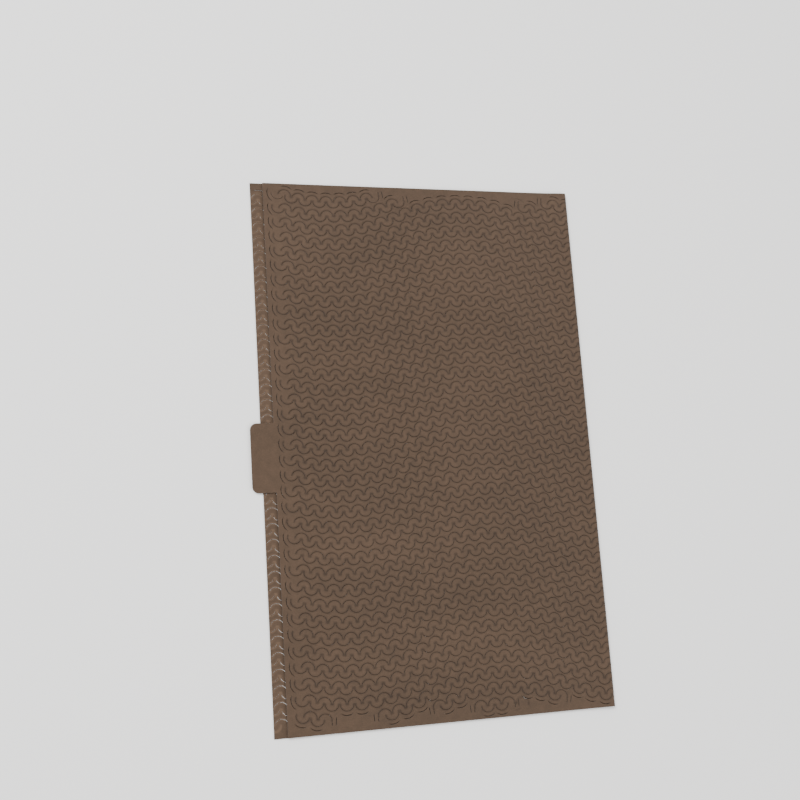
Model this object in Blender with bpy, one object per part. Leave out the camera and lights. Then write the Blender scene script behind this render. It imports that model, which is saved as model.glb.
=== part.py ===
"""Scale-model camouflage net: one thin sheet, folded once in half and lying flat.

Units are metres and +Z is up. The origin is the middle of the underside of the object's
bounding box. The fold runs along +Y at the +X side. The lower leaf rests on the ground, the
upper leaf lies on it with a small gap, and the sheet's tab sticks out at the -X side.
"""
import math

import bmesh
import bpy

# Driving dimensions of the sheet, laid out flat.
SHEET_WIDTH = 0.200
SHEET_LENGTH = 0.160
SHEET_THICKNESS = 0.001

# The tab is cut in one with the sheet, at the upper leaf's free edge.
TAB_LENGTH = 0.0068
TAB_WIDTH = 0.020
TAB_CENTRE_FROM_FAR_END = 0.0827
TAB_CORNER_RADIUS = 0.0018

# The folded section.
LEAF_GAP = 0.0005
LOWER_LEAF_SHOWS = 0.0037
FOLD_RADIUS = 0.0011
FOLD_SLOPE = math.radians(6.0)
LEVELLING_RADIUS = 0.030

# Facets: across the leaves, across the bends, and along the fold.
LEAF_FACET = 0.0065
BEND_FACET = math.radians(15.0)
LENGTH_FACET = 0.0065

# Soft swells of the upper leaf, long and slanting: middle, half-length, half-breadth, height.
SWELLS = [
    {"x": -0.008, "y": 0.018, "reach": 0.055, "breadth": 0.010, "slant": -54.0, "height": 0.00040},
    {"x": 0.024, "y": 0.040, "reach": 0.045, "breadth": 0.010, "slant": -57.0, "height": 0.00035},
    {"x": -0.026, "y": -0.045, "reach": 0.030, "breadth": 0.012, "slant": -50.0, "height": 0.00025},
]

# Colour and finish of the cloth.
NET_COLOUR = (0.140, 0.093, 0.064, 1.0)
NET_ROUGHNESS = 0.92


def folded_runs():
    """The section's runs from the lower leaf's free edge: name, length and turn."""
    fold_turn = math.pi + FOLD_SLOPE
    fold_length = FOLD_RADIUS * fold_turn
    levelling_length = LEVELLING_RADIUS * FOLD_SLOPE
    # The upper leaf comes down from the top of the fold to its place above the lower leaf.
    fold_top = FOLD_RADIUS * (1 + math.cos(FOLD_SLOPE))
    levelling_drop = LEVELLING_RADIUS * (1 - math.cos(FOLD_SLOPE))
    easing_drop = fold_top - levelling_drop - (SHEET_THICKNESS + LEAF_GAP)
    easing_length = easing_drop / math.sin(FOLD_SLOPE)
    # How far the upper leaf reaches back past the start of the fold, before its level run.
    back_reach = (
        FOLD_RADIUS * math.sin(FOLD_SLOPE)
        + easing_length * math.cos(FOLD_SLOPE)
        + LEVELLING_RADIUS * math.sin(FOLD_SLOPE)
    )
    leaves = SHEET_WIDTH - fold_length - easing_length - levelling_length
    lower_length = (leaves + LOWER_LEAF_SHOWS + back_reach) / 2
    return [
        {"name": "lower leaf", "length": lower_length, "turn": 0.0},
        {"name": "fold", "length": fold_length, "turn": fold_turn},
        {"name": "easing down", "length": easing_length, "turn": 0.0},
        {"name": "levelling", "length": levelling_length, "turn": -FOLD_SLOPE},
        {"name": "upper leaf", "length": leaves - lower_length + TAB_LENGTH, "turn": 0.0},
    ]


def point_on_section(runs, travel):
    """Position and direction on the section, a given travel from the lower leaf's edge."""
    x = 0.0
    z = 0.0
    heading = 0.0
    for run in runs:
        step = min(travel, run["length"])
        if run["turn"]:
            radius = run["length"] / run["turn"]
            end_heading = heading + step / radius
            x += radius * (math.sin(end_heading) - math.sin(heading))
            z += radius * (math.cos(heading) - math.cos(end_heading))
            heading = end_heading
        else:
            x += step * math.cos(heading)
            z += step * math.sin(heading)
        travel -= step
        if travel <= 0:
            break
    return x, z, heading


def facet_stations(runs):
    """Travels at which the flat sheet is creased before it is folded."""
    stations = []
    start = 0.0
    for run in runs:
        if run["turn"]:
            facets = math.ceil(abs(run["turn"]) / BEND_FACET)
        else:
            facets = math.ceil(run["length"] / LEAF_FACET)
        stations += [start + run["length"] * i / facets for i in range(facets)]
        start += run["length"]
    return stations[1:]


def swell_height(x, y):
    """Height that the soft swells add to the upper leaf."""
    height = 0.0
    for swell in SWELLS:
        slant = math.radians(swell["slant"])
        dx = x - swell["x"]
        dy = y - swell["y"]
        lengthwise = (dx * math.cos(slant) + dy * math.sin(slant)) / swell["reach"]
        sideways = (dy * math.cos(slant) - dx * math.sin(slant)) / swell["breadth"]
        height += swell["height"] * math.exp(-(lengthwise ** 2 + sideways ** 2))
    return height


def sheet_outline():
    """Corners of the flat sheet with its tab: travel, place along the fold and radius."""
    half = SHEET_LENGTH / 2
    tab_far = half - TAB_CENTRE_FROM_FAR_END + TAB_WIDTH / 2
    tab_near = tab_far - TAB_WIDTH
    tab_end = SHEET_WIDTH + TAB_LENGTH
    return [
        (0.0, -half, 0.0),
        (SHEET_WIDTH, -half, 0.0),
        (SHEET_WIDTH, tab_near, 0.0),
        (tab_end, tab_near, TAB_CORNER_RADIUS),
        (tab_end, tab_far, TAB_CORNER_RADIUS),
        (SHEET_WIDTH, tab_far, 0.0),
        (SHEET_WIDTH, half, 0.0),
        (0.0, half, 0.0),
    ]


def rounded(corners, arc_facets=5):
    """The outline's points, with each corner that has a radius turned into an arc."""
    points = []
    count = len(corners)
    for i, (x, y, radius) in enumerate(corners):
        if not radius:
            points.append((x, y))
            continue
        before = corners[i - 1]
        after = corners[(i + 1) % count]
        towards_before = (_sign(before[0] - x), _sign(before[1] - y))
        towards_after = (_sign(after[0] - x), _sign(after[1] - y))
        centre_x = x + radius * (towards_before[0] + towards_after[0])
        centre_y = y + radius * (towards_before[1] + towards_after[1])
        for k in range(arc_facets + 1):
            angle = math.pi / 2 * k / arc_facets
            points.append((
                centre_x - radius * (
                    towards_after[0] * math.cos(angle) + towards_before[0] * math.sin(angle)
                ),
                centre_y - radius * (
                    towards_after[1] * math.cos(angle) + towards_before[1] * math.sin(angle)
                ),
            ))
    return points


def _sign(value):
    """-1, 0 or 1, with a hair's breadth counted as nothing."""
    if abs(value) < 1e-9:
        return 0
    return 1 if value > 0 else -1


def flat_sheet(name):
    """The cut sheet as a mesh: a filled flat outline, half its thickness to each side."""
    curve = bpy.data.curves.new(name + "_outline", "CURVE")
    curve.dimensions = "2D"
    curve.fill_mode = "BOTH"
    curve.extrude = SHEET_THICKNESS / 2
    points = rounded(sheet_outline())
    spline = curve.splines.new("POLY")
    spline.points.add(len(points) - 1)
    for point, (x, y) in zip(spline.points, points):
        point.co = (x, y, 0.0, 1.0)
    spline.use_cyclic_u = True
    outline = bpy.data.objects.new(name + "_outline", curve)
    bpy.context.scene.collection.objects.link(outline)
    bpy.context.view_layer.update()
    depsgraph = bpy.context.evaluated_depsgraph_get()
    mesh = bpy.data.meshes.new_from_object(outline.evaluated_get(depsgraph))
    mesh.name = name
    bpy.data.objects.remove(outline)
    bpy.data.curves.remove(curve)
    return mesh


def crease(sheet, point, normal):
    """Slice the sheet's faces along a plane, and keep both sides."""
    bmesh.ops.bisect_plane(
        sheet,
        geom=sheet.verts[:] + sheet.edges[:] + sheet.faces[:],
        dist=1e-7,
        plane_co=point,
        plane_no=normal,
    )


def fold_mesh(mesh):
    """Crease the flat sheet and fold it once, lower leaf down, upper leaf on top."""
    runs = folded_runs()
    sheet = bmesh.new()
    sheet.from_mesh(mesh)
    bmesh.ops.remove_doubles(sheet, verts=sheet.verts, dist=1e-6)
    for travel in facet_stations(runs):
        crease(sheet, (travel, 0.0, 0.0), (1.0, 0.0, 0.0))
    rows = round(SHEET_LENGTH / LENGTH_FACET)
    for i in range(1, rows):
        crease(sheet, (0.0, SHEET_LENGTH * (i / rows - 0.5), 0.0), (0.0, 1.0, 0.0))

    # The lower leaf's edge and the tab's end set how far the whole is moved to centre it.
    tab_end = point_on_section(runs, SHEET_WIDTH + TAB_LENGTH)[0]
    fold_side = max(point_on_section(runs, travel)[0] for travel in facet_stations(runs))
    middle = (tab_end + fold_side + SHEET_THICKNESS / 2) / 2
    upper_start = SHEET_WIDTH + TAB_LENGTH - runs[-1]["length"]
    for vert in sheet.verts:
        travel = vert.co.x
        offset = vert.co.z
        x, z, heading = point_on_section(runs, travel)
        x -= offset * math.sin(heading) + middle
        z += offset * math.cos(heading) + SHEET_THICKNESS / 2
        if travel > upper_start:
            z += swell_height(x, vert.co.y)
        vert.co.x = x
        vert.co.z = z
    bmesh.ops.recalc_face_normals(sheet, faces=sheet.faces)
    sheet.to_mesh(mesh)
    sheet.free()


def net_material():
    """Matte brown cloth."""
    material = bpy.data.materials.new("net_cloth")
    material.use_nodes = True
    shader = material.node_tree.nodes["Principled BSDF"]
    shader.inputs["Base Color"].default_value = NET_COLOUR
    shader.inputs["Roughness"].default_value = NET_ROUGHNESS
    shader.inputs["Metallic"].default_value = 0.0
    return material


def build():
    """Clear the scene and build the folded net."""
    for old in list(bpy.data.objects):
        bpy.data.objects.remove(old)
    collection = bpy.data.collections.new("camouflage_net")
    bpy.context.scene.collection.children.link(collection)
    mesh = flat_sheet("net_sheet")
    fold_mesh(mesh)
    mesh.materials.append(net_material())
    collection.objects.link(bpy.data.objects.new("net_sheet", mesh))


build()
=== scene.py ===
import math

import bmesh
import bpy
from mathutils import Matrix, Vector, noise


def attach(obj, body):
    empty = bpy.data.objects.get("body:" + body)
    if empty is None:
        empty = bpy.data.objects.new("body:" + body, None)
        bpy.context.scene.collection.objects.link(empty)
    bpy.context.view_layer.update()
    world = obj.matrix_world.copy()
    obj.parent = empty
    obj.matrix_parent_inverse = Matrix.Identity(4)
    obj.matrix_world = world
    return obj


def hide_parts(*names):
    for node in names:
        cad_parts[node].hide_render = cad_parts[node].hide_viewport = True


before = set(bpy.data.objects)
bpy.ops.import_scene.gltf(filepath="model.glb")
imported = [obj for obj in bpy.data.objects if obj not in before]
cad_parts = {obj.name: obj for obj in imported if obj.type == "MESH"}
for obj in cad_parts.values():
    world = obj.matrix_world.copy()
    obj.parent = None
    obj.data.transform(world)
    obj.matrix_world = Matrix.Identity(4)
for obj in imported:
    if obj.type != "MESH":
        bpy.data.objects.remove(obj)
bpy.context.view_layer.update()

# ---- the net's own sizes, in metres ----

# The cut sheet, laid out flat. Places on it run right from CUT_LEFT, the upper leaf's free
# edge, over the fold to the lower leaf's free edge, and up from its middle.
SHEET_WIDTH = 0.200
SHEET_LENGTH = 0.160
CLOTH_THICKNESS = 0.0003
CUT_LEFT = 0.0037
CUT_RIGHT = CUT_LEFT + SHEET_WIDTH

# The tab, cut in one with the sheet.
TAB_LENGTH = 0.0068
TAB_WIDTH = 0.020
TAB_CENTRE = SHEET_LENGTH / 2 - 0.0827
TAB_CORNER_RADIUS = 0.0018
TAB_DROOP = 0.00012

# The wave that each row of slits follows.
ROW_PITCH = 0.004458
ROWS = 40
FIRST_ROW_DEPTH = -0.0038467
WAVE_LENGTH = 0.085335
WAVE_TROUGH = 0.02315
WAVE_DEPTH = 0.0050542
WAVE_THIRD = -0.0002237
WAVE_BEYOND = 0.008
WAVE_POINTS = 1200

# The slits: arcs that open up and down by turns along the wave.
SLIT_SPACING = 0.0021361
SLIT_RADIUS = 0.00198
SLIT_REACH = math.radians(82.7)
SLIT_SINK = 0.000167
SLIT_COUNT = 94
FIRST_SLIT = -27
SLIT_PHASE = -0.001781
KERF = 0.000108
KERF_FLARE = 1.85
ARC_POINTS = 8
EDGE_KERF = 1.8
LAST_ARC_KERF = 1.15

# The row slits in groups of columns: the upper leaf, the lower one, and its bare strip. Each
# has its first and last column, the points of a slit's outline, and how much wider it is cut.
SLIT_GROUPS = ((0, 46, 14, 1.0), (47, 92, 12, 1.0), (93, 93, 14, 1.2))

# The pattern is drawn out a little from the fold to the lower leaf's free edge.
LOWER_LEAF_START = CUT_LEFT + SHEET_WIDTH / 2
LOWER_LEAF_DRAW = 0.0087

# What the slits leave plain along the sheet's ends, and the arcs that line them.
END_CLEAR = 0.00356
END_CLEAR_BACK = 0.0030
STEEP_WAVE = 0.34
STEEP_CLEAR = 0.0008
END_ARC_OUT = 0.00115
END_ARC_REACH = math.radians(36.5)
EDGE_ARC_OUT = 0.00124
EDGE_ARC_REACH = math.radians(43.5)
EDGE_ARC_TURN = math.radians(106.0)
LAST_ARC_REACH = math.radians(33.0)
LAST_ARC_TURN = math.radians(130.5)
EDGE_ARC_CLEAR = 0.0060
LAST_ARC_CLEAR = 0.0065

# Where a row stops short at an end: one straight slit leads on from its last slit, and a
# longer one runs beside it.
STEP_RADIUS = 0.020
STEP_ON_LENGTH = 0.00105
STEP_ON_PLACE = 0.00083
STEP_SIDE_LENGTH = 0.0025
STEP_SIDE_PLACE = 0.00010

# How far the middle of a slit's inner side may stand up.
FLAP_SPRING = 0.00007

# The flat sheet is filled in bands of rows, which are then merged. A band ends between two
# rows, on a line that dips round the first slits: place across the sheet, and dip.
BAND_ROWS = (8, 15, 22, 29)
BAND_STEP = 0.00427
BAND_DIPS = [
    (0.0037, 0.00125), (0.0052, 0.00095), (0.00575, 0.00130), (0.0063, 0.00154),
    (0.0071, 0.00110), (0.0078, 0.00030), (0.0086, 0.0),
]

# The usual step along the outline's long runs, and how near two points are made one.
OUTLINE_STEP = 0.006
WELD = 0.000002

# The folded section.
LOWER_EDGE_X = -0.0493
UPPER_EDGE_X = LOWER_EDGE_X + CUT_LEFT
LEAF_GAP = 0.00022
FOLD_SIDE_X = 0.0518
FOLD_RADIUS = 0.00055
FOLD_SLOPE = math.radians(4.0)
LEVELLING_RADIUS = 0.020

# The section's heading drops below this just inside the fold, where the upper leaf ends. Edges
# sharper than the angle stay sharp.
UPPER_HEADING = -0.3
SHARP_ANGLE = math.radians(38.0)

# Soft swells of the upper leaf, long and slanting: middle, half-length, half-breadth, height.
SWELLS = [
    {"x": -0.008, "y": 0.018, "reach": 0.055, "breadth": 0.010, "slant": -54.0, "height": 0.00040},
    {"x": 0.024, "y": 0.040, "reach": 0.045, "breadth": 0.010, "slant": -57.0, "height": 0.00035},
    {"x": -0.026, "y": -0.045, "reach": 0.030, "breadth": 0.012, "slant": -50.0, "height": 0.00025},
]

# Its ripples and the lift along its edges. Each unevenness has a size each way, in the order
# that the places are given in, and a layer of the noise.
RIPPLE = 0.00012
RIPPLE_MIDDLE = 0.6
FINE_RIPPLE = 0.25
EDGE_CURL = 0.00006
CURL_REACH = 0.005
CURL_MIDDLE = 0.5
BROAD_UNEVEN = (0.030, 0.024, 3.7)
FINE_UNEVEN = (0.009, 0.012, 8.1)
CURL_UNEVEN = (0.016, 0.020, 1.3)

# The lift dies out towards the fold, and is smaller near the sheet's ends.
FOLD_EASE = 0.014
END_EASE = 0.012
END_SHARE = 0.35

# ---- the view, from the photograph's angle ----

CAMERA_PLACE = Vector((-0.0966, -0.0452, 0.3128))
CAMERA_AIM = Vector((-0.0075, 0.0134, 0.0009))
CAMERA_ROLL = math.radians(-3.86)
CAMERA_LENS = 49.95

# ---- colours, as linear light ----

CLOTH_DEEP = (0.0275, 0.0170, 0.0105, 1.0)
CLOTH_LIGHT = (0.0992, 0.0622, 0.0393, 1.0)
FLOOR_PALE = (0.90, 0.895, 0.885, 1.0)
FLOOR_HALF = 1.5
FLOOR_LEVEL = -0.00002

# The pale surroundings' strength, then the lights: where each stands, its size and its power
# in watts. Each faces the net's middle.
SURROUNDINGS = 0.90
BROAD_LIGHT = ((-0.45, 0.35, 0.75), 0.55, 11.5)
FILL_LIGHT = ((0.55, -0.45, 0.65), 0.60, 3.8)

# The cloth's tone, from deep to light, and how much its broad slanting bands and each kind of grain add
# to it.
TONE_MIDDLE = 0.524
BROAD_TONE = 0.34
MOTTLE_TONE = 0.46
FIBRE_TONE = 0.28
FLECK_TONE = 0.46

# The cloth's relief, as shares of the bump's reach, and its roughness.
BUMP_REACH = 0.001
FIBRE_RELIEF = 0.020
FLECK_RELIEF = 0.012
MOTTLE_RELIEF = 0.030
LIP_RELIEF = 0.030
RIM_RELIEF = 0.020
ROUGHNESS_MIDDLE = 0.88
MOTTLE_ROUGHNESS = 0.12
FIBRE_ROUGHNESS = 0.06

# Painted along each slit: a soft dark rim (cutter's scorch and painted shade), a dot of painted shade
# at its ends, and a paler lip (a painted highlight).
RIM_WIDTH = 0.00045
RIM_SCORCH_AND_SHADE = 0.15
DOT_WIDTH = 0.00042
DOT_SHADE = 0.26
RIM_CLEAR_BACK = 0.00324
LIP_PLACE = 0.00066
LIP_WIDTH = 0.00030
LIP_HIGHLIGHT = 0.05

# Added to the distance from a slit that isn't cut, and from an arc past its own tips.
NOT_CUT = 0.01
BEYOND_TIPS = 0.001

# Where the lower leaf lies bare, light from the pale ground is painted along the slits' sides as a
# paler tone.
BARE_STRIP = 0.0034
GLOW_WIDTH = 0.00030
GLOW_LIGHT = 0.80


# ---- node trees written as expressions ----

class Signal:
    """A socket's output. Arithmetic on it adds Math nodes to its board."""

    def __init__(self, board, socket):
        self.board = board
        self.socket = socket

    def math(self, operation, *others):
        sockets = dict(enumerate((self, *others)))
        return self.board.node("ShaderNodeMath", {"operation": operation}, sockets)

    def other(self, name):
        """Another output of the same node."""
        return Signal(self.board, self.socket.node.outputs[name])

    def __add__(self, other):
        return self.math("ADD", other)

    __radd__ = __add__

    def __mul__(self, other):
        return self.math("MULTIPLY", other)

    __rmul__ = __mul__

    def __sub__(self, other):
        return self.math("SUBTRACT", other)

    def __rsub__(self, other):
        return self.board.node("ShaderNodeMath", {"operation": "SUBTRACT"}, {0: other, 1: self})

    def __truediv__(self, other):
        return self.math("DIVIDE", other)

    def __rtruediv__(self, other):
        return self.board.node("ShaderNodeMath", {"operation": "DIVIDE"}, {0: other, 1: self})

    def __mod__(self, other):
        return self.math("FLOORED_MODULO", other)

    def __gt__(self, other):
        return self.math("GREATER_THAN", other)

    def __lt__(self, other):
        return self.math("LESS_THAN", other)

    def __abs__(self):
        return self.math("ABSOLUTE")


class Board:
    """A node tree being wired up."""

    def __init__(self, tree):
        self.tree = tree

    def node(self, kind, settings=None, sockets=None, output=0):
        """Add a node: settings first, then its sockets' values or links."""
        made = self.tree.nodes.new(kind)
        for name, value in (settings or {}).items():
            setattr(made, name, value)
        for key, value in (sockets or {}).items():
            links = value if isinstance(value, list) else [value]
            for link in links:
                if isinstance(link, Signal):
                    self.tree.links.new(link.socket, made.inputs[key])
                else:
                    made.inputs[key].default_value = link
        return Signal(self, made.outputs[output])


# ---- the row wave, in plain numbers ----

def wave_depth(x):
    """Depth of the first row below the sheet's far end, at a place across the sheet."""
    turn = 2 * math.pi * (x - WAVE_TROUGH) / WAVE_LENGTH
    return FIRST_ROW_DEPTH + WAVE_DEPTH * math.cos(turn) + WAVE_THIRD * math.cos(3 * turn)


def wave_run(start, end, steps=4000):
    """Length along the wave between two places across the sheet."""
    step = (end - start) / steps
    run = 0.0
    for i in range(steps):
        a = start + i * step
        run += math.hypot(step, wave_depth(a + step) - wave_depth(a))
    return run


WAVE_START = WAVE_TROUGH - WAVE_LENGTH / 2
WAVE_END = CUT_RIGHT + WAVE_BEYOND
WAVE_PERIOD_RUN = wave_run(WAVE_START, WAVE_START + WAVE_LENGTH)
FIRST_SLIT_RUN = WAVE_PERIOD_RUN + SLIT_PHASE + FIRST_SLIT * SLIT_SPACING


# ---- the cut sheet ----

def drawn_place(x):
    """A place across the pattern, moved as the lower leaf is drawn out."""
    return x + max(0.0, x - LOWER_LEAF_START) * LOWER_LEAF_DRAW


def band_line(row):
    """The clear line below a row, from the upper leaf's free edge to the lower leaf's."""
    places = list(BAND_DIPS)
    x = BAND_DIPS[-1][0] + BAND_STEP
    while drawn_place(x) < CUT_RIGHT - BAND_STEP / 2:
        places.append((x, 0.0))
        x += BAND_STEP
    points = []
    for x, dip in places:
        depth = wave_depth(x) + (row + 0.5) * ROW_PITCH + dip
        points.append(Vector((drawn_place(x), SHEET_LENGTH / 2 - depth)))
    x = LOWER_LEAF_START + (CUT_RIGHT - LOWER_LEAF_START) / (1 + LOWER_LEAF_DRAW)
    last = wave_depth(x) + (row + 0.5) * ROW_PITCH
    points.append(Vector((CUT_RIGHT, SHEET_LENGTH / 2 - last)))
    return points


def tab_side(top, bottom):
    """The tab's outline, from top to bottom, if it lies between two heights on its edge."""
    tab_far = TAB_CENTRE + TAB_WIDTH / 2
    tab_near = TAB_CENTRE - TAB_WIDTH / 2
    if not (top > tab_far and bottom < tab_near):
        return []
    far_corner = Vector((CUT_LEFT - TAB_LENGTH, tab_far))
    near_corner = Vector((CUT_LEFT - TAB_LENGTH, tab_near))
    onward = Vector((1.0, 0.0))
    inward = Vector((0.0, 1.0))
    points = [Vector((CUT_LEFT, tab_far))]
    points += rounded_corner(far_corner, onward, -inward)
    points += rounded_corner(near_corner, inward, onward)
    points.append(Vector((CUT_LEFT, tab_near)))
    return points


def rounded_corner(corner, before, after, steps=6):
    """A tab corner's arc, between the directions back and onward along its two sides."""
    centre = corner + TAB_CORNER_RADIUS * (before + after)
    points = []
    for k in range(steps + 1):
        turn = math.pi / 2 * k / steps
        reach = after * math.cos(turn) + before * math.sin(turn)
        points.append(centre - TAB_CORNER_RADIUS * reach)
    return points


def stepped(points):
    """A closed line with its long runs divided into short steps."""
    line = []
    for i, point in enumerate(points):
        onward = points[(i + 1) % len(points)] - point
        steps = max(1, round(onward.length / OUTLINE_STEP))
        line += [point + onward * k / steps for k in range(steps)]
    return line


def band_outlines():
    """Each band's closed outline, from the far end to the near end."""
    half = SHEET_LENGTH / 2
    ends = [[Vector((CUT_LEFT, half)), Vector((CUT_RIGHT, half))]]
    ends += [band_line(row) for row in BAND_ROWS]
    ends += [[Vector((CUT_LEFT, -half)), Vector((CUT_RIGHT, -half))]]
    outlines = []
    for upper, lower in zip(ends, ends[1:]):
        left = tab_side(upper[0].y, lower[0].y)
        outlines.append(stepped([*left, *lower, *reversed(upper)]))
    return outlines


def outline_curve(name):
    """The sheet's cut outline, one closed line for each band."""
    curve = bpy.data.curves.new(name, "CURVE")
    curve.dimensions = "3D"
    for points in band_outlines():
        spline = curve.splines.new("POLY")
        spline.points.add(len(points) - 1)
        for point, place in zip(spline.points, points):
            point.co = (place.x, place.y, 0.0, 1.0)
        spline.use_cyclic_u = True
    return curve


def slit_outline(board, radius, reach, kerf, points):
    """A slit's closed outline about its centre, arching upwards, widening before its tips."""
    half = points // 2
    step = board.node("GeometryNodeInputIndex")
    inner = step > half + 0.5
    along = 1 - abs(1 - step / half) * 2
    turn = along * reach
    width = kerf * (1 + (KERF_FLARE - 1) * along * along) * (abs(along) < 0.999)
    distance = radius + width * (0.5 - inner)
    place = board.node("ShaderNodeCombineXYZ", None, {
        0: distance * turn.math("SINE"),
        1: distance * turn.math("COSINE"),
    })
    ring = board.node("GeometryNodeCurvePrimitiveCircle", {"mode": "RADIUS"}, {0: points, 4: 0.001})
    spring = inner * (1 - abs(along).math("POWER", 2.0))
    sprung = board.node(
        "GeometryNodeStoreNamedAttribute",
        {"data_type": "FLOAT", "domain": "POINT"},
        {"Geometry": ring, "Name": "spring", "Value": spring},
    )
    return board.node("GeometryNodeSetPosition", None, {"Geometry": sprung, "Position": place})


def wave_line(board, given):
    """The first row's wave as a line, from a crest to past the lower leaf's free edge."""
    line = board.node("GeometryNodeCurvePrimitiveLine", {"mode": "POINTS"}, {
        "Start": (WAVE_START, 0.0, 0.0),
        "End": (WAVE_END, 0.0, 0.0),
    })
    line = board.node(
        "GeometryNodeResampleCurve", {"mode": "COUNT"}, {"Curve": line, "Count": WAVE_POINTS}
    )
    across = board.node("ShaderNodeSeparateXYZ", None, {0: board.node("GeometryNodeInputPosition")})
    turn = (across - given["Wave Trough"]) * (2 * math.pi) / given["Wave Length"]
    depth = (
        given["First Row Depth"]
        + given["Wave Depth"] * turn.math("COSINE")
        + given["Wave Third"] * (turn * 3).math("COSINE")
    )
    height = given["Sheet Length"] / 2 - depth
    waved = board.node("ShaderNodeCombineXYZ", None, {0: across, 1: height})
    return board.node("GeometryNodeSetPosition", None, {"Geometry": line, "Position": waved})


def place_on_wave(board, given, line, column):
    """A slit column's place on the first row, and the wave's direction there."""
    run = given["First Slit Run"] + given["Slit Spacing"] * column
    sample = board.node(
        "GeometryNodeSampleCurve", {"mode": "LENGTH"}, {"Curves": line, "Length": run}, "Position"
    )
    place = board.node("ShaderNodeSeparateXYZ", None, {0: sample})
    direction = board.node("ShaderNodeSeparateXYZ", None, {0: sample.other("Tangent")})
    return place, place.other("Y"), direction, direction.other("Y")


def slit_centre(board, given, spot, arching, row):
    """Centre of a slit: just off its row's wave, on the side away from its arch."""
    x, y, run_x, run_y = spot
    sink = arching * SLIT_SINK
    across = x + run_y * sink
    along = y - run_x * sink - row * given["Row Pitch"]
    drawn = (across - LOWER_LEAF_START).math("MAXIMUM", 0.0) * LOWER_LEAF_DRAW
    return board.node("ShaderNodeCombineXYZ", None, {0: across + drawn, 1: along})


def cut_out(board, given, count, centre, row, keep, outline, angle):
    """One outline at each kept centre, turned by its angle, with its band and a spring."""
    points = board.node("GeometryNodePoints", None, {"Count": count, "Position": centre})
    spread = board.node(
        "FunctionNodeRandomValue", {"data_type": "FLOAT"}, {2: 0.1, 3: 1.0, 8: given["Seed"]}, 1
    )
    points = board.node(
        "GeometryNodeStoreNamedAttribute",
        {"data_type": "FLOAT", "domain": "POINT"},
        {"Geometry": points, "Name": "own_spring", "Value": spread},
    )
    band = sum(row > last_row + 0.5 for last_row in BAND_ROWS)
    points = board.node(
        "GeometryNodeStoreNamedAttribute",
        {"data_type": "INT", "domain": "POINT"},
        {"Geometry": points, "Name": "band", "Value": band},
    )
    turned = board.node("ShaderNodeCombineXYZ", None, {2: angle})
    return board.node("GeometryNodeInstanceOnPoints", None, {
        "Points": points,
        "Selection": keep,
        "Instance": outline,
        "Rotation": turned,
    })


def clear_rows(board, given, line, column, arch_clear, back_clear):
    """A column's first and last rows by what its slits must leave plain at the sheet's ends."""
    spot = place_on_wave(board, given, line, column)
    steep = (abs(spot[3]) > STEEP_WAVE) * STEEP_CLEAR
    upward = column % 2
    far = (arch_clear + steep) * upward + back_clear * (1 - upward)
    near = (arch_clear + steep) * (1 - upward) + back_clear * upward
    depth = given["Sheet Length"] / 2 - spot[1]
    first = ((far - depth) / given["Row Pitch"]).math("CEIL")
    last = ((given["Sheet Length"] - near - depth) / given["Row Pitch"]).math("FLOOR")
    return first, last


def kept_rows(board, given, line, column):
    """A column's first and last rows. A slit that arches away from an end needs a neighbour."""
    first, last = clear_rows(board, given, line, column, END_CLEAR, END_CLEAR_BACK)
    before = clear_rows(board, given, line, column - 1, END_CLEAR, END_CLEAR_BACK)
    after = clear_rows(board, given, line, column + 1, END_CLEAR, END_CLEAR_BACK)
    upward = column % 2
    beside_first = before[0].math("MINIMUM", after[0]) - upward * ROWS
    beside_last = before[1].math("MAXIMUM", after[1]) + (1 - upward) * ROWS
    return first.math("MAXIMUM", beside_first), last.math("MINIMUM", beside_last)


def row_slits(board, given, line):
    """The rows, column by column, where the whole slit is clear of the ends."""
    index = board.node("GeometryNodeInputIndex")
    column = index % SLIT_COUNT
    row = (index / SLIT_COUNT).math("FLOOR")
    arching = (column % 2) * 2 - 1
    first, last = kept_rows(board, given, line, column)
    keep = (row > first - 0.5) * (row < last + 0.5)
    spot = place_on_wave(board, given, line, column)
    angle = spot[3].math("ARCTAN2", spot[2]) + (1 - arching) * (math.pi / 2)
    centre = slit_centre(board, given, spot, arching, row)
    made = []
    for start, end, points, widening in SLIT_GROUPS:
        kerf = given["Kerf"] * widening
        slit = slit_outline(board, given["Slit Radius"], given["Slit Reach"], kerf, points)
        chosen = keep * (column > start - 0.5) * (column < end + 0.5)
        made.append(cut_out(board, given, SLIT_COUNT * ROWS, centre, row, chosen, slit, angle))
    return made


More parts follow.
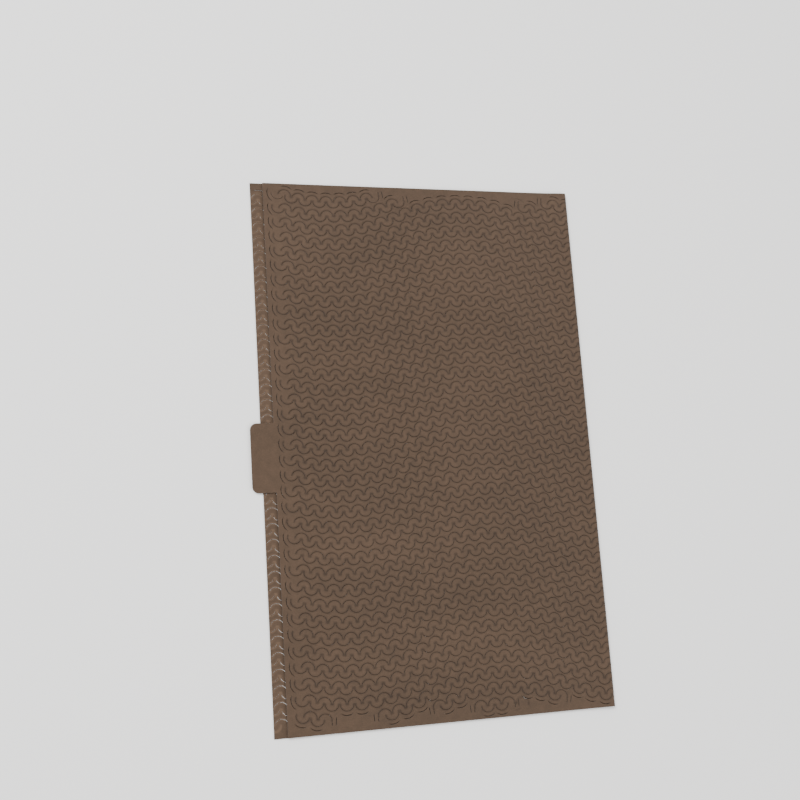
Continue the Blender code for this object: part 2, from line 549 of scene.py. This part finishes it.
def end_slits(board, given, line):
    """Along both ends: an arc outside each column's last slit, and lines where rows stop."""
    column = board.node("GeometryNodeInputIndex")
    upward = column % 2
    arching = upward * 2 - 1
    first, last = kept_rows(board, given, line, column)
    steps = {}
    outer = 0
    for side in (-1, 1):
        beside = (column + side).math("MAXIMUM", 0).math("MINIMUM", SLIT_COUNT - 1)
        first_beside, last_beside = kept_rows(board, given, line, beside)
        outer += (first_beside < first - 0.5) * upward
        outer += (last_beside > last + 0.5) * (1 - upward)
        steps[side] = (
            (first_beside > first + 0.5) * (1 - upward) + (last_beside < last - 0.5) * upward
        )
    spot = place_on_wave(board, given, line, column)
    slope = spot[3].math("ARCTAN2", spot[2])

    # The arcs, each outside the slit that arches towards the end.
    row = first * upward + last * (1 - upward)
    centre = slit_centre(board, given, spot, arching, row)
    radius = given["Slit Radius"] + END_ARC_OUT
    kerf = given["Kerf"] * EDGE_KERF
    arc = slit_outline(board, radius, END_ARC_REACH, kerf, ARC_POINTS)
    angle = slope + (1 - arching) * (math.pi / 2)
    made = [cut_out(board, given, SLIT_COUNT, centre, row, outer < 0.5, arc, angle)]

    # The lines, from the outer end of a row's last slit, which arches away from the end.
    row = first * (1 - upward) + last * upward
    centre = board.node(
        "ShaderNodeSeparateXYZ", None, {0: slit_centre(board, given, spot, arching, row)}
    )
    lean = slope / 2
    for side, keep in steps.items():
        turn = math.pi / 2 - side * arching * given["Slit Reach"] + slope
        tip_x = centre + given["Slit Radius"] * arching * turn.math("COSINE")
        tip_y = centre.other("Y") + given["Slit Radius"] * arching * turn.math("SINE")
        for length, out, on in (
            (STEP_ON_LENGTH, 0.0, STEP_ON_PLACE),
            (STEP_SIDE_LENGTH, END_ARC_OUT, STEP_SIDE_PLACE),
        ):
            across = side * (out - STEP_RADIUS)
            x = tip_x + lean.math("COSINE") * across + lean.math("SINE") * arching * on
            y = tip_y + lean.math("SINE") * across - lean.math("COSINE") * arching * on
            place = board.node("ShaderNodeCombineXYZ", None, {0: x, 1: y})
            reach = length / 2 / STEP_RADIUS
            mark = slit_outline(board, STEP_RADIUS, reach, kerf, ARC_POINTS)
            angle = lean - side * math.pi / 2
            made.append(cut_out(board, given, SLIT_COUNT, place, row, keep, mark, angle))
    return made


def edge_slits(board, given, line):
    """Along the free edges: an arc outside each row's first slit, and part of one past its last."""
    row = board.node("GeometryNodeInputIndex")
    half_length = given["Sheet Length"] / 2
    made = []
    slit_radius = given["Slit Radius"]
    first_radius = slit_radius + EDGE_ARC_OUT
    for column, radius, reach, turn, widening, near_clear in (
        (0, first_radius, EDGE_ARC_REACH, EDGE_ARC_TURN, EDGE_KERF, EDGE_ARC_CLEAR),
        (SLIT_COUNT, slit_radius, LAST_ARC_REACH, LAST_ARC_TURN, LAST_ARC_KERF, LAST_ARC_CLEAR),
    ):
        spot = place_on_wave(board, given, line, row * 0 + column)
        base = spot[1] - row * given["Row Pitch"]
        keep = (half_length - base > END_CLEAR_BACK) * (half_length + base > near_clear)
        centre = slit_centre(board, given, spot, row * 0 - 1, row)
        arc = slit_outline(board, radius, reach, given["Kerf"] * widening, ARC_POINTS)
        angle = spot[3].math("ARCTAN2", spot[2]) * (column > 0) + turn
        made.append(cut_out(board, given, ROWS, centre, row, keep, arc, angle))
    return made


def all_slits(board, given):
    """Every slit's outline."""
    line = wave_line(board, given)
    groups = row_slits(board, given, line)
    groups += end_slits(board, given, line)
    groups += edge_slits(board, given, line)
    joined = board.node("GeometryNodeJoinGeometry", None, {0: groups})
    return board.node("GeometryNodeRealizeInstances", None, {0: joined})


def spring_height(board, given, slits):
    """How far a slit's inner side is moved, so that it stands up on both leaves once folded."""
    points = board.node("GeometryNodeCurveToPoints", {"mode": "EVALUATED"}, {"Curve": slits})
    place = board.node("GeometryNodeInputPosition")
    nearest = board.node(
        "GeometryNodeSampleNearest", {"domain": "POINT"}, {"Geometry": points, "Sample Position": place}
    )
    spring = board.node("GeometryNodeInputNamedAttribute", {"data_type": "FLOAT"}, {"Name": "spring"})
    own = board.node("GeometryNodeInputNamedAttribute", {"data_type": "FLOAT"}, {"Name": "own_spring"})
    height = board.node(
        "GeometryNodeSampleIndex",
        {"data_type": "FLOAT", "domain": "POINT"},
        {"Geometry": points, "Value": spring * own, "Index": nearest},
    )
    across = board.node("ShaderNodeSeparateXYZ", None, {0: place})
    runs = section_runs()
    fold_start = CUT_LEFT + sum(run["length"] for run in runs[:3])
    fold_end = fold_start + runs[3]["length"]
    up = (across < fold_start) - (across > fold_end)
    return height * up * given["Flap Spring"]


def slit_sheet_tree(sizes):
    """The node group that cuts the slits in the sheet's outline and gives the cloth thickness."""
    tree = bpy.data.node_groups.new("slit_sheet", "GeometryNodeTree")
    face = tree.interface
    face.new_socket("Outline", in_out="INPUT", socket_type="NodeSocketGeometry")
    face.new_socket("Sheet", in_out="OUTPUT", socket_type="NodeSocketGeometry")
    for name, value in sizes.items():
        kind = "NodeSocketInt" if isinstance(value, int) else "NodeSocketFloat"
        face.new_socket(name, in_out="INPUT", socket_type=kind)
    face.new_socket("Cloth", in_out="INPUT", socket_type="NodeSocketMaterial")
    board = Board(tree)
    source = tree.nodes.new("NodeGroupInput")
    given = {socket.name: Signal(board, socket) for socket in source.outputs if socket.name}

    slits = all_slits(board, given)
    outlines = board.node(
        "GeometryNodeStoreNamedAttribute",
        {"data_type": "INT", "domain": "CURVE"},
        {
            "Geometry": given["Outline"],
            "Name": "band",
            "Value": board.node("GeometryNodeInputIndex"),
        },
    )
    lines = board.node("GeometryNodeJoinGeometry", None, {0: [outlines, slits]})
    band = board.node("GeometryNodeInputNamedAttribute", {"data_type": "INT"}, {"Name": "band"})
    flat = board.node(
        "GeometryNodeFillCurve", {"mode": "TRIANGLES"}, {"Curve": lines, "Group ID": band}
    )
    flat = board.node(
        "GeometryNodeMergeByDistance", None, {"Geometry": flat, "Distance": WELD}
    )
    raised = board.node(
        "ShaderNodeCombineXYZ", None, {2: spring_height(board, given, slits)}
    )
    flat = board.node("GeometryNodeSetPosition", None, {"Geometry": flat, "Offset": raised})
    thickness = board.node("ShaderNodeCombineXYZ", None, {2: given["Cloth Thickness"]})
    top = board.node("GeometryNodeExtrudeMesh", {"mode": "FACES"}, {
        "Mesh": flat,
        "Offset": thickness,
        "Offset Scale": 1.0,
        "Individual": False,
    })
    under = board.node("GeometryNodeFlipFaces", None, {"Mesh": flat})
    closed = board.node("GeometryNodeJoinGeometry", None, {0: [top, under]})
    closed = board.node(
        "GeometryNodeMergeByDistance", None, {"Geometry": closed, "Distance": WELD}
    )
    closed = board.node("GeometryNodeRealizeInstances", None, {0: closed})
    closed = board.node(
        "GeometryNodeSetMaterial", None, {"Geometry": closed, "Material": given["Cloth"]}
    )
    sink = tree.nodes.new("NodeGroupOutput")
    tree.links.new(closed.socket, sink.inputs[0])
    return tree


def flat_net(cloth):
    """The slit sheet laid out flat, as a plain mesh."""
    sizes = {
        "Sheet Length": SHEET_LENGTH,
        "Row Pitch": ROW_PITCH,
        "First Row Depth": FIRST_ROW_DEPTH,
        "Wave Length": WAVE_LENGTH,
        "Wave Trough": WAVE_TROUGH,
        "Wave Depth": WAVE_DEPTH,
        "Wave Third": WAVE_THIRD,
        "Slit Spacing": SLIT_SPACING,
        "First Slit Run": FIRST_SLIT_RUN,
        "Slit Radius": SLIT_RADIUS,
        "Slit Reach": SLIT_REACH,
        "Kerf": KERF,
        "Cloth Thickness": CLOTH_THICKNESS,
        "Flap Spring": FLAP_SPRING,
        "Seed": 7,
    }
    tree = slit_sheet_tree(sizes)
    carrier = bpy.data.objects.new("net_outline", outline_curve("net_outline"))
    bpy.context.scene.collection.objects.link(carrier)
    modifier = carrier.modifiers.new("slits", "NODES")
    modifier.node_group = tree
    values = dict(sizes, Cloth=cloth)
    for item in tree.interface.items_tree:
        if item.in_out == "INPUT" and item.name in values:
            modifier[item.identifier] = values[item.name]
    bpy.context.view_layer.update()
    depsgraph = bpy.context.evaluated_depsgraph_get()
    mesh = bpy.data.meshes.new_from_object(carrier.evaluated_get(depsgraph))
    mesh.name = "slit_net"
    curve = carrier.data
    bpy.data.objects.remove(carrier)
    bpy.data.curves.remove(curve)
    return mesh


# ---- the fold ----

def section_runs():
    """The folded section's runs from the upper leaf's free edge: length, turn and creases."""
    sine = math.sin(FOLD_SLOPE)
    cosine = math.cos(FOLD_SLOPE)
    levelling = LEVELLING_RADIUS * FOLD_SLOPE
    fold = FOLD_RADIUS * (math.pi + FOLD_SLOPE)
    rise = FOLD_RADIUS * (1 + cosine) - (CLOTH_THICKNESS + LEAF_GAP)
    easing = (rise - LEVELLING_RADIUS * (1 - cosine)) / sine
    reach = LEVELLING_RADIUS * sine + easing * cosine + FOLD_RADIUS * sine
    upper = (SHEET_WIDTH - CUT_LEFT - levelling - easing - fold - reach) / 2
    lower = upper + reach + CUT_LEFT
    return [
        {"length": upper, "turn": 0.0, "creases": 0},
        {"length": levelling, "turn": FOLD_SLOPE, "creases": 0},
        {"length": easing, "turn": 0.0, "creases": 0},
        {"length": fold, "turn": -(math.pi + FOLD_SLOPE), "creases": 6},
        {"length": lower, "turn": 0.0, "creases": 1},
    ]


def point_on_section(runs, travel):
    """Place and heading on the section, a given travel from the upper leaf's free edge."""
    x = UPPER_EDGE_X
    z = CLOTH_THICKNESS * 1.5 + LEAF_GAP
    heading = 0.0
    for run in runs:
        step = min(travel, run["length"])
        if run["turn"]:
            radius = run["length"] / run["turn"]
            onward = heading + step / radius
            x += radius * (math.sin(onward) - math.sin(heading))
            z += radius * (math.cos(heading) - math.cos(onward))
            heading = onward
        else:
            x += step * math.cos(heading)
            z += step * math.sin(heading)
        travel -= step
        if travel <= 0:
            break
    return x, z, heading


def crease_places(runs):
    """Places across the flat sheet where its faces are split before it is folded."""
    places = []
    start = CUT_LEFT
    for run in runs:
        count = run["creases"]
        places += [start + run["length"] * i / count for i in range(count)]
        start += run["length"]
    return places


def smooth_share(value):
    """0 to 1, with level ends."""
    share = min(1.0, max(0.0, value))
    return share * share * (3 - 2 * share)


def uneven(first, second, sizes):
    """Smooth unevenness about zero, the same each run."""
    first_size, second_size, layer = sizes
    return noise.noise(Vector((first / first_size, second / second_size, layer)))


def upper_leaf_lift(x, y):
    """How far the upper leaf stands above its level run: swells, ripples and lifted edges."""
    lift = 0.0
    for swell in SWELLS:
        slant = math.radians(swell["slant"])
        dx = x - swell["x"]
        dy = y - swell["y"]
        lengthwise = (dx * math.cos(slant) + dy * math.sin(slant)) / swell["reach"]
        sideways = (dy * math.cos(slant) - dx * math.sin(slant)) / swell["breadth"]
        lift += swell["height"] * math.exp(-(lengthwise ** 2 + sideways ** 2))
    broad = uneven(x, y, BROAD_UNEVEN)
    fine = uneven(x, y, FINE_UNEVEN)
    lift += RIPPLE * (RIPPLE_MIDDLE + broad + FINE_RIPPLE * fine)
    from_edge = x - UPPER_EDGE_X
    from_end = SHEET_LENGTH / 2 - abs(y)
    lift *= END_SHARE + (1 - END_SHARE) * smooth_share(from_end / END_EASE)
    curl = CURL_MIDDLE + uneven(y, x, CURL_UNEVEN)
    lift += EDGE_CURL * curl * math.exp(-max(0.0, from_edge) / CURL_REACH)
    lift += EDGE_CURL * curl * math.exp(-from_end / CURL_REACH)
    lift *= smooth_share((FOLD_SIDE_X - x) / FOLD_EASE)
    if from_edge < 0:
        lift -= TAB_DROOP * smooth_share(-from_edge / TAB_LENGTH)
    return lift


def fold_net(mesh):
    """Split the flat net's faces across the bends, keep its flat places, and fold it once."""
    runs = section_runs()
    net = bmesh.new()
    net.from_mesh(mesh)
    for place in crease_places(runs):
        bmesh.ops.bisect_plane(
            net,
            geom=net.verts[:] + net.edges[:] + net.faces[:],
            dist=1e-7,
            plane_co=(place, 0.0, 0.0),
            plane_no=(1.0, 0.0, 0.0),
        )
    bmesh.ops.triangulate(net, faces=net.faces[:])
    laid = net.verts.layers.float_vector.new("laid_flat")
    for vert in net.verts:
        vert[laid] = vert.co
        offset = vert.co.z - CLOTH_THICKNESS / 2
        x, z, heading = point_on_section(runs, vert.co.x - CUT_LEFT)
        on_upper = heading > UPPER_HEADING
        x -= offset * math.sin(heading)
        z += offset * math.cos(heading)
        if on_upper:
            z += upper_leaf_lift(x, vert.co.y)
        vert.co = (x, vert.co.y, z)
    net.to_mesh(mesh)
    net.free()
    mesh.shade_smooth()
    mesh.set_sharp_from_angle(angle=SHARP_ANGLE)


# ---- the cloth's finish ----

def wave_run_waves():
    """The even waves that the run along a row adds to its steady growth: turns and height."""
    steps = 240
    found = []
    for turns in (2, 4):
        total = 0.0
        run = 0.0
        step = WAVE_LENGTH / steps
        for i in range(steps):
            x = WAVE_START + i * step
            turn = 2 * math.pi * (x - WAVE_TROUGH) / WAVE_LENGTH
            steady = WAVE_PERIOD_RUN * i / steps
            total += (run - steady) * math.sin(turns * turn)
            run += math.hypot(step, wave_depth(x + step) - wave_depth(x))
        found.append((turns, 2 * total / steps))
    return found


def wave_at(turn):
    """The first row's depth and slope, at a turn along the wave."""
    pace = 2 * math.pi / WAVE_LENGTH
    depth = FIRST_ROW_DEPTH + turn.math("COSINE") * WAVE_DEPTH + (turn * 3).math("COSINE") * WAVE_THIRD
    slope = turn.math("SINE") * (-WAVE_DEPTH * pace) - (turn * 3).math("SINE") * (3 * WAVE_THIRD * pace)
    return depth, slope


def is_cut(column, turn, row_drop):
    """Whether a column, at its turn along the wave, has a slit in a row so far below the first."""
    wave, slope = wave_at(turn)
    depth = wave + row_drop
    steep = (abs(slope) * (slope * slope + 1).math("INVERSE_SQRT") > STEEP_WAVE) * STEEP_CLEAR
    upward = column % 2
    far = END_CLEAR * upward + RIM_CLEAR_BACK * (1 - upward) + steep
    near = END_CLEAR * (1 - upward) + RIM_CLEAR_BACK * upward + steep
    in_rows = (depth > far) * (depth < SHEET_LENGTH - near)
    return in_rows * (column > -0.5) * (column < SLIT_COUNT + 0.5)


def from_slit(board, x, y):
    """Distances from the nearest slit's middle line and end, from the wave and arcs as cut."""
    drawn = (x - LOWER_LEAF_START).math("MAXIMUM", 0.0)
    x = x - drawn * (LOWER_LEAF_DRAW / (1 + LOWER_LEAF_DRAW))
    pace = 2 * math.pi / WAVE_LENGTH
    turn = (x - WAVE_TROUGH) * pace
    depth = SHEET_LENGTH / 2 - y
    wave, slope = wave_at(turn)
    below = (depth - wave + ROW_PITCH / 2) % ROW_PITCH - ROW_PITCH / 2
    level = (slope * slope + 1).math("INVERSE_SQRT")
    off = below * level
    run = (x - WAVE_START) * (WAVE_PERIOD_RUN / WAVE_LENGTH) + off * slope
    for turns, height in wave_run_waves():
        run = run + (turn * turns).math("SINE") * height

    # The slit whose middle is nearest, and its neighbour on the same side.
    cell = (run - FIRST_SLIT_RUN) / SLIT_SPACING
    column = (cell + 0.5).math("FLOOR")
    aside = (cell - column) * SLIT_SPACING
    side = (aside > 0) * 2 - 1
    along = abs(aside)
    over = SLIT_SPACING - along
    arching = (column % 2) * 2 - 1
    row_drop = depth - below - wave
    own_cut = is_cut(column, turn - aside * level * pace, row_drop)
    next_cut = is_cut(column + side, turn + over * side * level * pace, row_drop)

    up = SLIT_SINK - off * arching
    beside = SLIT_SINK + off * arching
    end_up = SLIT_RADIUS * math.cos(SLIT_REACH)
    end_along = SLIT_RADIUS * math.sin(SLIT_REACH)
    own = abs((along * along + up * up).math("SQRT") - SLIT_RADIUS) + (up < end_up) * BEYOND_TIPS
    own = own + (1 - own_cut) * NOT_CUT
    arc = abs((over * over + beside * beside).math("SQRT") - SLIT_RADIUS)
    end_x = over - end_along
    end_y = beside - end_up
    end = (end_x * end_x + end_y * end_y).math("SQRT") + (1 - next_cut) * NOT_CUT
    past_end = beside < end_up
    neighbour = (arc + (1 - next_cut) * NOT_CUT) * (1 - past_end) + end * past_end
    return own.math("MINIMUM", neighbour), end


def grain(board, place, size, stretch=1.0, turn=0.0, detail=2.0):
    """Noise about zero with grains of a given size, longer one way if stretched."""
    mapped = board.node("ShaderNodeMapping", None, {
        "Vector": place,
        "Rotation": (0.0, 0.0, turn),
        "Scale": (1 / (size * stretch), 1 / size, 1 / size),
    })
    cloud = board.node("ShaderNodeTexNoise", {"noise_dimensions": "3D"}, {
        "Vector": mapped,
        "Scale": 1.0,
        "Detail": detail,
        "Roughness": 0.55,
    })
    return cloud - 0.5


def faded(distance, width):
    """1 at no distance, about a third at a width, and fading smoothly to nothing."""
    share = distance / width
    return (share * share * -1).math("EXPONENT")


def net_cloth():
    """Thin pressed cloth: matte brown, matted fibres, lips along the slits, and painted shade, scorch
    and highlights round them.
    """
    material = bpy.data.materials.new("pressed_brown_cloth")
    material.use_nodes = True
    board = Board(material.node_tree)
    shader = material.node_tree.nodes["Principled BSDF"]
    shader.inputs["Specular IOR Level"].default_value = 0.18
    shader.inputs["Sheen Weight"].default_value = 0.10
    shader.inputs["Sheen Roughness"].default_value = 0.6

    place = board.node(
        "ShaderNodeAttribute", {"attribute_type": "GEOMETRY", "attribute_name": "laid_flat"},
        None, "Vector",
    )
    x = board.node("ShaderNodeSeparateXYZ", None, {0: place})
    y = x.other("Y")

    # Broad, long bands of lighter and darker tone, slanting across the sheet.
    broad = grain(board, place, 0.022, stretch=2.2, turn=math.radians(55))
    mottle = grain(board, place, 0.0024, detail=3.0)
    fibres = (
        grain(board, place, 0.00010, stretch=7.0, turn=math.radians(20))
        + grain(board, place, 0.00012, stretch=6.0, turn=math.radians(-48))
    )
    fleck = grain(board, place, 0.00028, detail=1.0)
    from_line, from_end = from_slit(board, x, y)
    # A soft dark rim along each slit: partly the cutter's scorch, partly painted shade where the cut
    # edges curl.
    rim = faded(from_line, RIM_WIDTH)
    # A dot of painted shade at each slit's ends, where the cut opens.
    dot = faded(from_end, DOT_WIDTH)
    # A lip beside each slit: raised as bump, and paler as a painted highlight.
    lip = faded(from_line - LIP_PLACE, LIP_WIDTH)

    tone = (
        TONE_MIDDLE
        + broad * BROAD_TONE
        + mottle * MOTTLE_TONE
        + fibres * FIBRE_TONE
        + fleck * FLECK_TONE
    )
    # Round the slits the tone is lowered by scorch and painted shade; on the bare strip it is raised by
    # painted light instead.
    bare = x > CUT_RIGHT - BARE_STRIP
    dark = rim * RIM_SCORCH_AND_SHADE + dot * DOT_SHADE
    # Painted light along the bare strip's slits, for the pale ground that shows through them.
    glow = faded(from_line, GLOW_WIDTH) * GLOW_LIGHT
    tone = tone + lip * LIP_HIGHLIGHT - dark * (1 - bare) + glow * bare
    colour = board.node(
        "ShaderNodeMix", {"data_type": "RGBA", "clamp_factor": True},
        {0: tone, 6: CLOTH_DEEP, 7: CLOTH_LIGHT}, 2,
    )
    height = (
        fibres * FIBRE_RELIEF
        + fleck * FLECK_RELIEF
        + mottle * MOTTLE_RELIEF
        + lip * LIP_RELIEF
        - rim * RIM_RELIEF
    )
    bump = board.node(
        "ShaderNodeBump", None, {"Strength": 1.0, "Distance": BUMP_REACH, "Height": height}
    )
    roughness = ROUGHNESS_MIDDLE + mottle * MOTTLE_ROUGHNESS + fibres * FIBRE_ROUGHNESS
    tree = material.node_tree
    tree.links.new(colour.socket, shader.inputs["Base Color"])
    tree.links.new(roughness.socket, shader.inputs["Roughness"])
    tree.links.new(bump.socket, shader.inputs["Normal"])
    return material


# ---- floor, lights and camera ----

def plain_floor():
    """A plain pale floor under the net, big enough to fill the view."""
    mesh = bpy.data.meshes.new("floor")
    half = FLOOR_HALF
    level = FLOOR_LEVEL
    corners = [(-half, -half, level), (half, -half, level), (half, half, level), (-half, half, level)]
    mesh.from_pydata(corners, [], [(0, 1, 2, 3)])
    material = bpy.data.materials.new("pale_floor")
    material.use_nodes = True
    shader = material.node_tree.nodes["Principled BSDF"]
    shader.inputs["Base Color"].default_value = FLOOR_PALE
    shader.inputs["Roughness"].default_value = 0.9
    mesh.materials.append(material)
    floor = bpy.data.objects.new("floor", mesh)
    bpy.context.scene.collection.objects.link(floor)
    return floor


def soft_light(name, place, size, power):
    """A square soft light that faces the net's middle."""
    light = bpy.data.lights.new(name, "AREA")
    light.shape = "SQUARE"
    light.size = size
    light.energy = power
    lamp = bpy.data.objects.new(name, light)
    lamp.location = place
    lamp.rotation_euler = (Vector() - Vector(place)).to_track_quat("-Z", "Y").to_euler()
    bpy.context.scene.collection.objects.link(lamp)


def studio():
    """Pale surroundings, one broad light from the upper left and a weaker one opposite."""
    world = bpy.data.worlds.new("studio")
    world.use_nodes = True
    background = world.node_tree.nodes["Background"]
    background.inputs["Color"].default_value = (1.0, 1.0, 1.0, 1.0)
    background.inputs["Strength"].default_value = SURROUNDINGS
    bpy.context.scene.world = world
    soft_light("broad_light", *BROAD_LIGHT)
    soft_light("fill_light", *FILL_LIGHT)


def photo_camera():
    """A camera where the photograph's stood, with its tilt and lens."""
    camera = bpy.data.cameras.new("camera")
    camera.lens = CAMERA_LENS
    camera.sensor_width = 36.0
    camera.clip_start = 0.01
    camera.clip_end = 10.0
    forward = (CAMERA_AIM - CAMERA_PLACE).normalized()
    along_fold = Vector((0.0, 1.0, 0.0))
    level_up = (along_fold - forward * along_fold.dot(forward)).normalized()
    level_right = forward.cross(level_up)
    up = level_up * math.cos(CAMERA_ROLL) - level_right * math.sin(CAMERA_ROLL)
    right = forward.cross(up)
    turn = Matrix((right, up, -forward)).transposed().to_4x4()
    body = bpy.data.objects.new("camera", camera)
    body.matrix_world = Matrix.Translation(CAMERA_PLACE) @ turn
    bpy.context.scene.collection.objects.link(body)
    bpy.context.scene.camera = body


def slit_net(floor):
    """The net: cut flat, folded once, and laid on the floor."""
    mesh = flat_net(net_cloth())
    fold_net(mesh)
    net = bpy.data.objects.new("slit_net", mesh)
    bpy.context.scene.collection.objects.link(net)
    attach(net, "root")
    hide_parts("net_sheet")


photo_camera()
studio()
slit_net(plain_floor())
